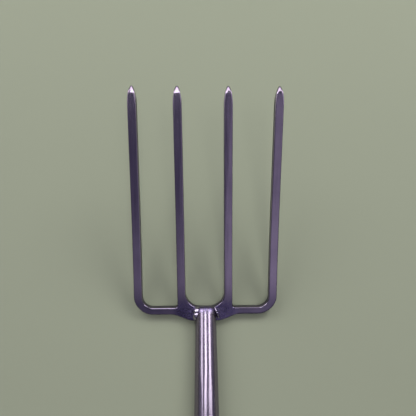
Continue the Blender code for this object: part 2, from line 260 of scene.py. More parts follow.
def steelMaterial(name, look):
    # drawn streaks along the bar, a painted dark reflection and painted shade in dark blue, hammer mottle by
    # "forge", brighter edges by "edge", and painted shade in near-black on the flanks and backs
    material, tree, shader = newMaterial(name)
    grain = attributeOf(tree, "grain", "Vector")
    forge = attributeOf(tree, "forge", "Fac")
    edge = attributeOf(tree, "edge", "Fac")
    bluing = attributeOf(tree, "bluing", "Fac")
    scale = attributeOf(tree, "scale", "Fac")
    place = tree.nodes.new("ShaderNodeTexCoord").outputs["Object"]

    streak = noiseAt(tree, stretched(tree, grain, (900.0, 22.0, 900.0)), 1.0, 5.0)
    cloud = noiseAt(tree, place, 38.0, 3.0)
    mottle = noiseAt(tree, place, 420.0, 6.0, 0.68)
    dents = noiseAt(tree, place, 150.0, 3.0, 0.5)

    tone = combined(tree, "ADD", ranged(tree, streak, 0.30, 0.70, 0.0, 0.5),
                    ranged(tree, cloud, 0.30, 0.70, 0.0, 0.5))
    colour = blended(tree, tone, look["dark"], look["light"])
    # painted dark reflection and painted shade, mixed in as dark blue
    blueShaded = thinned(tree, bluing, cloud, 0.55, 1.0)
    colour = blended(tree, blueShaded, colour, look["bluing"])
    forged = thinned(tree, forge, mottle, 0.15, 1.0, 0.38, 0.58)
    colour = blended(tree, forged, colour, look["forge"])
    worn = thinned(tree, edge, cloud, 0.60, 1.0, 0.35, 0.65)
    colour = blended(tree, worn, colour, look["edge"])
    # painted shade on the flanks and backs: near-black, rougher and not metallic
    shadedFaces = thinned(tree, scale, cloud, 0.86, 1.0)
    colour = blended(tree, shadedFaces, colour, look["scale"])
    tree.links.new(colour, shader.inputs["Base Color"])

    rough = ranged(tree, streak, 0.30, 0.70, look["roughLow"], look["roughHigh"])
    rough = combined(tree, "ADD", rough, ranged(tree, forged, 0.0, 1.0, 0.0, 0.14))
    rough = combined(tree, "ADD", rough, ranged(tree, scale, 0.0, 1.0, 0.0, 0.35))
    tree.links.new(rough, shader.inputs["Roughness"])
    tree.links.new(ranged(tree, shadedFaces, 0.0, 1.0, 1.0, 0.0), shader.inputs["Metallic"])
    shader.inputs["Specular IOR Level"].default_value = 0.25

    fine = bumped(tree, streak, 0.00002, 0.5)
    beaten = thinned(tree, forge, edge, 1.0, 0.0, 0.0, 0.5)
    hammer = combined(tree, "MULTIPLY", dents, beaten)
    hammered = bumped(tree, hammer, 0.00030, 0.7, fine)
    pits = combined(tree, "MULTIPLY", mottle, beaten)
    tree.links.new(bumped(tree, pits, 0.00006, 0.7, hammered), shader.inputs["Normal"])
    return material


brushedLook = dict(steelLook, roughLow=0.20, roughHigh=0.28)
weldLook = dict(
    steelLook, dark=(0.300, 0.270, 0.350), light=(0.520, 0.480, 0.560), roughLow=0.10, roughHigh=0.20,
)
rivetLook = dict(
    steelLook, dark=(0.300, 0.285, 0.290), light=(0.430, 0.410, 0.400), roughLow=0.24, roughHigh=0.42,
)

ashLook = {
    "pale": (0.600, 0.400, 0.215),
    "deep": (0.395, 0.225, 0.100),
    "pore": (0.200, 0.105, 0.045),
    "grime": (0.115, 0.070, 0.040),
    "roughLow": 0.34,
    "roughHigh": 0.56,
}
gripLook = dict(ashLook, pale=(0.500, 0.300, 0.150), deep=(0.300, 0.155, 0.070))


def woodMaterial(name, look, ringScale):
    # growth rings as bands across a stretched, wandering field, pores as thin dark dashes along the grain
    material, tree, shader = newMaterial(name)
    grain = attributeOf(tree, "grain", "Vector")
    grime = attributeOf(tree, "grime", "Fac")
    place = tree.nodes.new("ShaderNodeTexCoord").outputs["Object"]

    ringField = stretched(tree, grain, (1.0, 0.035, 0.55))
    rings = tree.nodes.new("ShaderNodeTexWave")
    rings.wave_type = "BANDS"
    rings.bands_direction = "X"
    rings.inputs["Scale"].default_value = ringScale
    rings.inputs["Distortion"].default_value = 5.5
    rings.inputs["Detail"].default_value = 3.0
    rings.inputs["Detail Scale"].default_value = 1.2
    tree.links.new(ringField, rings.inputs["Vector"])
    fibre = noiseAt(tree, stretched(tree, grain, (1500.0, 26.0, 1500.0)), 1.0, 4.0)
    pores = noiseAt(tree, stretched(tree, grain, (1100.0, 42.0, 1100.0)), 1.0, 2.0, 0.4)
    cloud = noiseAt(tree, place, 14.0, 3.0)

    tone = combined(tree, "ADD", ranged(tree, rings.outputs["Fac"], 0.0, 1.0, 0.0, 0.55),
                    ranged(tree, fibre, 0.30, 0.70, 0.0, 0.45))
    colour = blended(tree, tone, look["pale"], look["deep"])
    pore = ranged(tree, pores, 0.60, 0.72, 0.0, 0.75)
    colour = blended(tree, pore, colour, look["pore"])
    dirt = thinned(tree, grime, cloud, 0.45, 1.0)
    colour = blended(tree, dirt, colour, look["grime"])
    tree.links.new(colour, shader.inputs["Base Color"])

    rough = ranged(tree, tone, 0.0, 1.0, look["roughLow"], look["roughHigh"])
    tree.links.new(rough, shader.inputs["Roughness"])
    shader.inputs["Coat Weight"].default_value = 0.12
    shader.inputs["Coat Roughness"].default_value = 0.35
    fine = bumped(tree, tone, 0.00010, 0.5)
    sunk = combined(tree, "MULTIPLY", pore, -1.0)
    tree.links.new(bumped(tree, sunk, 0.00016, 0.7, fine), shader.inputs["Normal"])
    return material


polishedSteel = steelMaterial("polishedSteel", steelLook)
weldSteel = steelMaterial("weldSteel", weldLook)
rivetSteel = steelMaterial("rivetSteel", rivetLook)
brushedSteel = steelMaterial("brushedSteel", brushedLook)
ashWood = woodMaterial("ashWood", ashLook, 26.0)
gripWood = woodMaterial("gripWood", gripLook, 34.0)
print("materials made")

# Head: square bar, drawn to rounded points, on a crossbar

headShape = {
    "tineWide": 0.0108,
    "barTall": 0.0091,
    "deep": 0.0100,
    "edge": 0.0011,
    "crown": 0.00005,          # the flats are a little full
    "tineLength": 0.2900,
    "width": 0.1900,
    "cornerRadius": 0.0200,
    "lift": np.radians(26.0),
    "dish": np.radians(5.5),
    "dishLength": 0.1500,
    "drop": 0.0080,            # crossbar centre below the handle axis
    "handWork": 0.00003,       # waver left by the hammer on the tines
    "seed": 5,
}
tipShape = {
    "length": 0.0230,          # where the sides begin to come in
    "fullness": 2.0,           # 1 is a parabola, more is rounder
    "facetLength": 0.0078,     # ground facet on the front
    "facetDrop": 0.0046,
    "facetPower": 1.5,
    "facetCrown": 0.00050,
    "facetLean": -0.00020,     # ground lower on the side away from the middle of the fork
    "backLength": 0.0150,
    "backRise": 0.0044,
    "roundTo": 1.5,            # how much fuller the edges get at the point
}
shoulderShape = {"start": 0.046, "end": 0.016, "depth": 0.0082}
innerTines = {
    "left": {"base": -0.0320, "tip": -0.0350, "seed": 21},
    "right": {"base": 0.0305, "tip": 0.0271, "seed": 34},
}
rootShape = {
    "inside": 0.0200,          # radius of the sweep towards the neck
    "outside": 0.0032,
    "lead": 0.0020,            # the root's rows start this far above the sweep
    "run": 0.0058,             # and end this much less the lead below the crossbar's middle
    "proud": 0.00002,          # stands this much over the crossbar
    "proudFrom": 0.012,
    "proudFade": 0.006,
    "sink": 0.0016,            # and its end goes this far under the crossbar's face
    "sinkFrom": 0.0008,
    "sinkFade": 0.004,
}
forgeShape = {
    "reachX": 0.050,
    "fadeX": 0.020,
    "reachV": 0.020,
    "fadeV": 0.014,
    "waves": 6,
    "pitch": (300.0, 750.0),
    "height": 0.000045,
    "fromEdge": 2.6,           # full height from here in, in edge radii
    "seed": 6,
}
# how far the painted dark reflection reaches up the tines, and its fade
blueShadeShape = {"reachV": 0.042, "fadeV": 0.038}
# where the painted shade on the flanks and backs sets in: up the section and back from the tip
shadeShape = {"flankFrom": 0.55, "flankFade": 0.45, "tipFrom": 0.006, "tipFade": 0.012}

halfWide, halfTall, halfDeep = (0.5 * headShape[key] for key in ("tineWide", "barTall", "deep"))


def headPoints(x, v, w):
    # flat head (across, up the tine, out of its front) wrapped on an arc over the dish, straight past it,
    # then lifted
    turn = headShape["dish"] * np.clip(v / headShape["dishLength"], 0.0, 1.0)
    radius = headShape["dishLength"] / headShape["dish"]
    rest = np.where(v < 0.0, v, np.maximum(v - headShape["dishLength"], 0.0))
    along = radius * np.sin(turn) + rest * np.cos(turn) - w * np.sin(turn)
    out = radius * (1.0 - np.cos(turn)) + rest * np.sin(turn) + w * np.cos(turn)
    lift = headShape["lift"]
    y = along * np.cos(lift) - out * np.sin(lift)
    z = along * np.sin(lift) + out * np.cos(lift) - headShape["drop"]
    return np.stack(np.broadcast_arrays(x, y, z), -1)


def barColumns(arcSteps, flatSteps):
    # once round a square section, corner by corner and flat by flat:
    # side -1 or 1 (between on the front and back), inset from the side in edge radii, rise -1 to 1 up it
    share = np.linspace(0.0, 1.0, arcSteps)
    inner = np.linspace(0.0, 1.0, flatSteps + 2)[1:-1]
    toFront = 1.0 - np.cos(0.5 * np.pi * share)
    one, full = np.ones(arcSteps), np.ones(flatSteps)
    across = 1.0 - 2.0 * inner
    side = np.concatenate([one, across, -one, -full, -one, -across, one, full])
    none = np.zeros(flatSteps)
    inset = np.concatenate([toFront, full, toFront[::-1], none] * 2)
    rise = np.concatenate([one, full, one, across, -one, -full, -one, -across])
    onArc = np.sin(np.pi * share) ** 2
    edge = np.concatenate([onArc, none] * 4)
    bulge = np.concatenate([0.0 * one, 1.0 - across ** 2] * 4)
    front = np.concatenate([one, full, one, none, -one, -full, -one, none])
    return {"side": side, "inset": inset, "rise": rise, "edge": edge, "bulge": bulge, "front": front}


def edgeDrop(inset, radius):
    # quarter circle: how far the face has fallen at this distance from the outline
    near = np.clip(1.0 - inset / radius, 0.0, 1.0)
    return radius * (1.0 - np.sqrt(1.0 - near ** 2))


def sideOutline(v, inset, half, radius):
    # distance out to the outline set in by inset: straight, then a concave quarter circle to the crossbar
    down = np.clip(halfTall + radius - v, 0.0, None)
    curved = half + radius - np.sqrt(np.maximum((radius + inset) ** 2 - down ** 2, 0.0))
    return np.where(down > 0.0, curved, half - inset)


def rootInset(across, v, radius):
    # distance of a crossbar point from that same outline, on one side of a tine
    toCircle = np.hypot(np.minimum(across - halfWide - radius, 0.0), halfTall + radius - v) - radius
    return np.where(across < halfWide + radius, toCircle, halfTall - v)


def tineCentre(place, v):
    return place["base"] + (place["tip"] - place["base"]) * v / headShape["tineLength"]


def headInset(x, v):
    # distance from the whole head's top outline at the crossbar, tines and roots counted in
    inset = halfTall - v
    for place in innerTines.values():
        inward = (x - tineCentre(place, v)) * -np.sign(place["base"])
        under = np.minimum(
            rootInset(inward, v, rootShape["inside"]),
            rootInset(-inward, v, rootShape["outside"]),
        )
        inset = np.maximum(inset, under)
    return inset


def forgeMask(x, v):
    # 1 round the tine roots and the neck, easing to 0 outwards and up the tines
    aside = smoothStep((forgeShape["reachX"] - np.abs(x)) / forgeShape["fadeX"])
    below = smoothStep((forgeShape["reachV"] - v) / forgeShape["fadeV"])
    return aside * below


def blueShadeMask(v):
    # painted dark reflection: dark blue all along the crossbar, fading up the tines
    return smoothStep((blueShadeShape["reachV"] - v) / blueShadeShape["fadeV"])


def forgeWork(x, v):
    # hammered hollows: sines across the head at random headings, fading out with the mask
    random = np.random.default_rng(forgeShape["seed"])
    total = np.zeros(np.broadcast(x, v).shape)
    for _ in range(forgeShape["waves"]):
        heading, pitch = random.uniform(0.0, 2.0 * np.pi), random.uniform(*forgeShape["pitch"])
        total = total + np.sin(pitch * (np.cos(heading) * x + np.sin(heading) * v) + random.uniform(0.0, 6.0))
    return forgeShape["height"] * total * forgeMask(x, v)


def tipSizes(distance):
    # share of the width, what the ground facet and the rounded back take off, and an arch along the facet
    left = np.clip(1.0 - distance / tipShape["length"], 0.0, 1.0)
    share = np.maximum(1.0 - left ** 2, 0.004) ** (1.0 / tipShape["fullness"])
    facet = np.clip(1.0 - distance / tipShape["facetLength"], 0.0, 1.0)
    frontOff = tipShape["facetDrop"] * facet ** tipShape["facetPower"]
    back = np.clip(1.0 - distance / tipShape["backLength"], 0.0, 1.0)
    return share, frontOff, tipShape["backRise"] * back ** 2, 4.0 * facet * (1.0 - facet)


def tipDistances(steps=24):
    # rows close together towards the tip, then evenly past where the sides come in
    fine = tipShape["facetLength"] * np.linspace(0.0, 1.0, steps) ** 1.4
    coarse = np.linspace(tipShape["facetLength"], tipShape["length"] * 1.3, 14)[1:]
    return np.concatenate([fine, coarse])


def shoulderDepth(x):
    share = (shoulderShape["start"] - np.abs(x)) / (shoulderShape["start"] - shoulderShape["end"])
    return shoulderShape["depth"] * smoothStep(share)


def outerBarPath():
    # half of the bent bar, tip to middle: straight down, a quarter circle, then across
    centreX = 0.5 * headShape["width"] - halfWide
    radius = headShape["cornerRadius"]
    tips = headShape["tineLength"] - tipDistances()
    straight = np.linspace(tips[-1], radius, 110)[1:]
    down = np.concatenate([tips, straight])
    turn = np.linspace(0.0, 0.5 * np.pi, 33)[1:]
    across = np.linspace(centreX - radius, 0.0, 130)[1:]
    x = np.concatenate([np.full_like(down, centreX), centreX - radius * (1.0 - np.cos(turn)), across])
    v = np.concatenate([down, radius * (1.0 - np.sin(turn)), np.zeros_like(across)])
    outX = np.concatenate([np.ones_like(down), np.cos(turn), np.zeros_like(across)])
    outV = np.concatenate([np.zeros_like(down), -np.sin(turn), -np.ones_like(across)])
    return x, v, outX, outV


def thickness(columns, distance, inset, edge, crown, inward):
    # q of the section: half the bar less the edge's drop and what the tip takes off, shared up the sides;
    # the ground facet is crowned across and leans outwards
    _, frontOff, backOff, ground = tipSizes(distance)
    fall = edgeDrop(inset, edge)
    facet = ground[:, None] * (tipShape["facetCrown"] * inward ** 2 + tipShape["facetLean"] * inward)
    front = halfDeep - frontOff[:, None] - facet - fall + crown * columns["bulge"]
    back = halfDeep - backOff[:, None] - fall + crown * columns["bulge"]
    middle = 0.5 * (front - back)
    mean = 0.5 * (front + back)
    return middle + mean * columns["rise"]


def tipEdge(distance):
    # the edge radius grows towards the point, so that the section there is almost round
    left = np.clip(1.0 - distance / tipShape["length"], 0.0, 1.0)
    share, _, _, _ = tipSizes(distance)
    rounder = 1.0 + (tipShape["roundTo"] - 1.0) * left ** 2
    return np.minimum(headShape["edge"] * rounder, 0.95 * halfWide * share)


def flankAndBackShade(columns, distance):
    # painted shade: 1 on the flanks and the back, 0 on the polished front and wherever the tip was ground
    polished = smoothStep((columns["rise"] - shadeShape["flankFrom"]) / shadeShape["flankFade"])
    flank = (np.abs(columns["side"]) == 1.0) * (1.0 - polished)
    behind = 1.0 * (columns["front"] < 0.0)
    fromTip = smoothStep((distance[:, None] - shadeShape["tipFrom"]) / shadeShape["tipFade"])
    return np.maximum(flank, behind) * fromTip


def headAttributes(columns, p, along, q, inset, edge, forge, planV, distance):
    # what the steel reads on the bar: way along the grain, rubbed edges, hammer work, painted dark
    # reflection, painted shade
    edges = np.clip(edgeDrop(inset, edge) / edge, 0.0, 1.0) * columns["edge"] ** 0.5
    return {
        "grain": np.stack(np.broadcast_arrays(p, along[:, None], q), -1),
        "edge": edges,
        "forge": forge,
        "bluing": blueShadeMask(planV),
        "scale": flankAndBackShade(columns, distance),
    }


def handWaver(columns, along, share, calm, seed):
    # slow waves along and round the bar, none where the forge work is
    around = 0.5 * np.pi * columns["side"] * columns["rise"]
    waves = softWaves(along[:, None], around[None, :], seed)
    return columns["front"] * (headShape["handWork"] * share[:, None] * waves * calm)


def outerTineBar():
    # the half path and its mirror image, one rounded square carried along both
    columns = barColumns(7, 7)
    x, v, outX, outV = outerBarPath()
    mirrored = slice(-2, None, -1)
    x = np.concatenate([x, -x[mirrored]])
    v = np.concatenate([v, v[mirrored]])
    outX = np.concatenate([outX, -outX[mirrored]])
    outV = np.concatenate([outV, outV[mirrored]])
    along = np.concatenate([[0.0], np.cumsum(np.hypot(np.diff(x), np.diff(v)))])
    distance = headShape["tineLength"] - v

    share, _, _, _ = tipSizes(distance)
    edge = tipEdge(distance)[:, None]
    across = smoothStep(-outV)
    half = (share * (halfWide + (halfTall - halfWide) * across))[:, None]
    inset = columns["inset"] * edge
    p = columns["side"] * (half - np.where(np.abs(columns["side"]) == 1.0, inset, edge))
    planX = x[:, None] + p * outX[:, None]
    planV = v[:, None] + p * outV[:, None]
    crossing = (outV < -0.99)[:, None]
    upper = np.maximum(inset, headInset(planX, planV))
    inset = np.where(crossing & (p < 0.0), upper, inset)
    calm = 1.0 - forgeMask(planX, planV) * crossing
    q = thickness(columns, distance, inset, edge, headShape["crown"] * share[:, None] * calm, -p / half)
    q = q + handWaver(columns, along, share, calm, headShape["seed"])
    fromEdge = smoothStep(inset / (forgeShape["fromEdge"] * edge))
    q = q + columns["front"] * crossing * forgeWork(planX, planV) * fromEdge

    points = headPoints(planX, planV, q)
    lean = np.clip(0.5 * (1.0 + p / half), 0.0, 1.0) * crossing
    points[..., 1] -= lean * shoulderDepth(x)[:, None]

    forge = forgeMask(planX, planV) * crossing
    extras = headAttributes(columns, p, along, q, inset, edge, forge, planV, distance)
    makeTube("outerTineBar", points, extras, polishedSteel, ["outer_tine_bar"], "polished_steel")


def innerTine(name, node, place):
    # straight tine; its root sweeps over the crossbar towards the neck and sinks into it
    columns = barColumns(7, 15)
    top = halfTall + rootShape["inside"]
    tips = headShape["tineLength"] - tipDistances()
    straight = np.linspace(tips[-1], top + rootShape["lead"], 100)[1:]
    root = top + rootShape["lead"] - (top + rootShape["run"]) * np.linspace(0.0, 1.0, 90)[1:]
    v = np.concatenate([tips, straight, root])
    distance = headShape["tineLength"] - v

    share, _, _, _ = tipSizes(distance)
    edge = tipEdge(distance)[:, None]
    half = halfWide * share[:, None]
    inset = columns["inset"] * edge
    inner = sideOutline(v[:, None], inset, half, rootShape["inside"])
    outer = sideOutline(v[:, None], inset, half, rootShape["outside"])
    innerFlat = sideOutline(v[:, None], edge, half, rootShape["inside"])
    outerFlat = sideOutline(v[:, None], edge, half, rootShape["outside"])
    flat = 0.5 * (innerFlat - outerFlat) + 0.5 * (innerFlat + outerFlat) * columns["side"]
    p = np.where(columns["side"] == 1.0, inner, np.where(columns["side"] == -1.0, -outer, flat))
    inward = -np.sign(place["base"])
    planX = tineCentre(place, v)[:, None] + inward * p
    planV = v[:, None] + 0.0 * p
    inset = np.maximum(inset, halfTall - planV)

    calm = 1.0 - forgeMask(planX, planV)
    q = thickness(columns, distance, inset, edge, headShape["crown"] * share[:, None] * calm, p / half)
    q = q + handWaver(columns, distance, share, calm, place["seed"])
    q = q + columns["front"] * forgeWork(planX, planV) * smoothStep(inset / (forgeShape["fromEdge"] * edge))
    raised = rootShape["proud"] * smoothStep((rootShape["proudFrom"] - v) / rootShape["proudFade"])
    sunk = rootShape["sink"] * np.clip((rootShape["sinkFrom"] - v) / rootShape["sinkFade"], 0.0, 1.0) ** 2
    q = q + columns["rise"] * (raised - sunk)[:, None]
    points = headPoints(planX, planV, q)

    forge = forgeMask(planX, planV)
    extras = headAttributes(columns, p, distance, q, inset, edge, forge, planV, distance)
    makeTube(name, points, extras, polishedSteel, [node], "polished_steel")


outerTineBar()
innerTine("innerTineLeft", "inner_tine_left", innerTines["left"])
innerTine("innerTineRight", "inner_tine_right", innerTines["right"])
print("tines and crossbar made")

# Neck and socket: a domed nose over the crossbar, a round neck, a cone with a blind bore

socketShape = {
    "neckRadius": 0.0135,
    "neckStart": -0.016,
    "noseEnd": 0.0036,
    "noseDip": 0.0020,
    "nosePower": 5.0,
    "growth": 0.0036,          # what the radius gains between the crossbar and the mouth
    "growthPower": 0.85,
    "flare": 0.0014,           # and what it gains besides towards the mouth
    "flareStart": -0.120,
    "mouth": -0.290,
    "ridge": {"angle": -15.0, "width": 8.0, "height": 0.00022},
    "groove": {"angle": 15.5, "width": 7.0, "height": -0.00016},
    "wall": 0.0018,
    "boreEnd": -0.150,
    "boreEndRadius": 0.0085,
    "lip": 0.0006,
    "seam": {"depth": 0.00045, "width": 0.045, "start": -0.120, "fade": 0.050},
    "foldStart": -0.072,       # the ridge and the groove fade in below here
    "foldFade": 0.030,
    "handWork": 0.00005,
    "forgeReach": 0.009,       # forge blue and painted shade on the nose, easing out this far below the crossbar
    "rim": 0.0016,             # rubbed band at the mouth
    "flankFrom": 42.0,         # degrees from the top where the painted shade on the flanks begins
    "flankFade": 20.0,
}


def noseShare(y):
    # superellipse quarter: 1 where the neck starts, 0 at the nose's end
    start, power = socketShape["neckStart"], socketShape["nosePower"]
    reach = np.clip((y - start) / (socketShape["noseEnd"] - start), 0.0, 1.0)
    return (1.0 - reach ** power) ** (1.0 / power)


def socketRadius(y):
    # neck radius plus a power of the share of the way to the mouth, plus an eased flare over the last stretch
    share = np.clip(y / socketShape["mouth"], 0.0, 1.2)
    late = smoothStep((socketShape["flareStart"] - y) / (socketShape["flareStart"] - socketShape["mouth"]))
    grown = socketShape["growth"] * share ** socketShape["growthPower"]
    return socketShape["neckRadius"] + grown + socketShape["flare"] * late


def socketPiece():
    # rows of circles: nose, neck, cone, lip, then back up the bore
    around = fullTurn(96)
    depth = socketShape["noseEnd"] - socketShape["neckStart"]
    nose = socketShape["noseEnd"] - depth * np.linspace(0.02, 1.0, 40) ** 2.2
    body = np.linspace(socketShape["neckStart"], socketShape["mouth"] + socketShape["lip"], 190)[1:]
    outerY = np.concatenate([nose, body])
    outerR = socketRadius(outerY) * noseShare(outerY)
    turn = np.linspace(0.0, np.pi, 9)[1:]
    mouthR = socketRadius(socketShape["mouth"])
    lipY = socketShape["mouth"] + socketShape["lip"] * (1.0 - np.sin(turn))
    lipR = mouthR - 0.5 * socketShape["wall"] * (1.0 - np.cos(turn))
    boreShare = np.linspace(0.0, 1.0, 12)[1:]
    boreY = lipY[-1] + (socketShape["boreEnd"] - lipY[-1]) * boreShare
    boreR = lipR[-1] + (socketShape["boreEndRadius"] - lipR[-1]) * boreShare
    y = np.concatenate([outerY, lipY, boreY])
    radius = np.concatenate([outerR, lipR, boreR])
    outside = (np.arange(len(y)) < len(outerY))[:, None]

    dip = -socketShape["noseDip"] * (1.0 - noseShare(y)) * (y > socketShape["neckStart"])
    work = softWaves(y[:, None], around[None, :], 11, 8, (8.0, 45.0)) * socketShape["handWork"]
    work = work * smoothStep(radius[:, None] / 0.012)
    seam = socketShape["seam"]
    fromBack = np.angle(np.exp(1j * (around + 0.5 * np.pi)))
    cut = hump(fromBack, seam["width"])[None, :] * smoothStep((seam["start"] - y) / seam["fade"])[:, None]
    fromTop = np.degrees(np.angle(np.exp(1j * (0.5 * np.pi - around))))
    folding = smoothStep((socketShape["foldStart"] - y) / socketShape["foldFade"])[:, None]
    for fold in (socketShape["ridge"], socketShape["groove"]):
        raised = hump(fromTop - fold["angle"], fold["width"]) * fold["height"]
        work = work + raised[None, :] * folding
    size = radius[:, None] + outside * (work - seam["depth"] * cut)
    points = np.stack([
        size * np.cos(around),
        np.broadcast_to(y[:, None], size.shape),
        dip[:, None] + size * np.sin(around),
    ], -1)
    grain = np.stack(np.broadcast_arrays(0.014 * around[None, :], y[:, None], 0.0), -1)
    # forged finish and painted shade: the nose darker and bluer near the crossbar
    nearBar = smoothStep((y + socketShape["forgeReach"]) / socketShape["forgeReach"])
    forge = np.broadcast_to(nearBar[:, None], size.shape)
    rim = hump(y - socketShape["mouth"], socketShape["rim"])[:, None] * outside
    # painted shade on the tube's flanks, away from the top
    flanks = smoothStep((np.abs(fromTop) - socketShape["flankFrom"]) / socketShape["flankFade"])
    extras = {
        "grain": grain,
        "edge": np.broadcast_to(rim, size.shape),
        "forge": forge,
        # painted shade in dark blue: on the nose near the crossbar and on the flanks
        "bluing": np.maximum(0.6 * forge, 0.55 * flanks[None, :] * outside),
        "scale": 0.0 * forge,
    }
    makeTube("socketAndNeck", points, extras, brushedSteel, ["socket"], "polished_steel")


weldShape = {
    "left": {
        "from": (-0.0114, 0.0034), "to": (-0.0132, -0.0136),
        "top": (0.0098, 0.0092), "wide": 0.0052, "tall": 0.0076, "notch": 0.26, "beads": 2.0,
    },
    "right": {
        "from": (0.0112, 0.0036), "to": (0.0172, -0.0118),
        "top": (0.0094, 0.0046), "wide": 0.0024, "tall": 0.0074, "notch": 0.12, "beads": 4.0,
    },
}


def weldPiece(name, node, look):
    # ellipses along a slanting line, pinched between the beads: each bead is an arch of the sine
    t = np.linspace(0.0, 1.0, 96)[:, None]
    around = fullTurn(44)[None, :]
    (startX, startY), (endX, endY) = look["from"], look["to"]
    rounding = np.clip(1.0 - (2.0 * t - 1.0) ** 2, 0.0004, 1.0) ** 0.42
    lagging = t + 0.035 * np.cos(around + 0.6)
    arch = np.abs(np.sin(np.pi * look["beads"] * lagging))
    swell = 1.0 - look["notch"] * (1.0 - arch) ** 1.6
    wide = look["wide"] * rounding * swell
    tall = look["tall"] * rounding * (1.0 - 0.5 * (1.0 - swell))
    top = look["top"][0] + (look["top"][1] - look["top"][0]) * t
    points = np.stack([
        startX + (endX - startX) * t + wide * np.cos(around),
        startY + (endY - startY) * t + 0.0 * around,
        top - look["tall"] + tall * np.sin(around),
    ], -1)
    grain = np.stack(np.broadcast_arrays(wide * np.cos(around), 0.014 * t, tall * np.sin(around)), -1)
    flat = np.zeros(wide.shape)
    extras = {"grain": grain, "edge": flat, "forge": flat + 0.10, "bluing": flat, "scale": flat}
    makeTube(name, points, extras, weldSteel, [node], "weld_metal")


socketPiece()
weldPiece("neckWeldLeft", "neck_weld_left", weldShape["left"])
weldPiece("neckWeldRight", "neck_weld_right", weldShape["right"])
print("socket and welds made")

# Handle: one piece of ash, round in the socket, split and spread at the end

shaftShape = {
    "shoulder": 0.0174,
    "waist": 0.0169,
    "throat": (-0.640, 0.0195, 0.0150),   # along the handle, half width, half thickness
    "spreadEnd": -0.735,
    "armEnd": -0.826,
    "armInside": 0.0390,
    "armWidth": 0.0150,
    "armThickness": 0.0145,
    "armCap": 0.0140,
    "armRound": 0.45,                     # 0 leaves the arm a half circle, 1 makes it an ellipse
    "clearance": 0.0003,
    "tangGap": 0.002,
    "chamfer": 0.0012,
    "waistFrom": -0.30,
    "waistFade": 0.14,
    "flatFrom": -0.54,                    # thinner and wider towards the throat from here
    "flatFade": 0.100,
    "handWork": 0.00016,
}


def shaftProfile():
    # tang: the bore's cone less the clearance; outside: a slight waist, then wider and thinner at the throat
    clearance = shaftShape["clearance"]
    boreEnd, mouth = socketShape["boreEnd"], socketShape["mouth"]
    mouthR = socketRadius(mouth) - socketShape["wall"]
    tangY = np.linspace(boreEnd - shaftShape["tangGap"], mouth - clearance, 14)
    share = (tangY - boreEnd) / (mouth - boreEnd)
    tangR = socketShape["boreEndRadius"] + (mouthR - socketShape["boreEndRadius"]) * share - clearance
    turn = np.linspace(0.0, 0.5 * np.pi, 7)
    shoulder = shaftShape["shoulder"]
    shoulderY = tangY[-1] - shaftShape["chamfer"] * (1.0 - np.cos(turn))
    shoulderR = tangR[-1] + (shoulder - tangR[-1]) * np.sin(turn)
    throatY, throatWide, throatThick = shaftShape["throat"]
    bodyY = np.linspace(shoulderY[-1], throatY, 150)[1:]
    waisted = smoothStep((shaftShape["waistFrom"] - bodyY) / shaftShape["waistFade"])
    waist = shoulder + (shaftShape["waist"] - shoulder) * waisted
    end = smoothStep((shaftShape["flatFrom"] - bodyY) / shaftShape["flatFade"])
    wide = waist + (throatWide - waist) * end
    thick = waist + (throatThick - waist) * end
    y = np.concatenate([tangY, shoulderY[1:], bodyY])
    return y, np.concatenate([tangR, shoulderR[1:], wide]), np.concatenate([tangR, shoulderR[1:], thick])


def armRows():
    # the arm's inner and outer sides ease apart, then run parallel to a rounded end
    throatY, throatWide, throatThick = shaftShape["throat"]
    inside, outside = shaftShape["armInside"], shaftShape["armInside"] + shaftShape["armWidth"]
    t = np.linspace(0.0, 1.0, 70)
    spreadY = throatY + (shaftShape["spreadEnd"] - throatY) * t
    eased = smoothStep(t)
    straightY = np.linspace(shaftShape["spreadEnd"], shaftShape["armEnd"] + shaftShape["armCap"], 40)[1:]
    capT = np.sin(0.5 * np.pi * np.linspace(0.0, 0.985, 18))[1:]
    capY = straightY[-1] - shaftShape["armCap"] * capT
    capSize = np.sqrt(1.0 - capT ** 2)
    middle, half = 0.5 * (inside + outside), 0.5 * (outside - inside)
    capHalf = half * (0.30 + 0.70 * capSize)
    armThick, rounded = shaftShape["armThickness"], shaftShape["armRound"]
    straight = np.ones(len(straightY))
    y = np.concatenate([spreadY, straightY, capY])
    inner = np.concatenate([inside * eased, inside * straight, middle - capHalf])
    spreadOuter = throatWide + (outside - throatWide) * eased
    outer = np.concatenate([spreadOuter, outside * straight, middle + capHalf])
    thin = throatThick + (armThick - throatThick) * t
    thick = np.concatenate([thin, armThick * straight, armThick * capSize])
    capRound = rounded + (1.0 - rounded) * capT
    roundness = np.concatenate([rounded * smoothStep(2.5 * t), rounded * straight, capRound])
    return y, inner, outer, thick, roundness


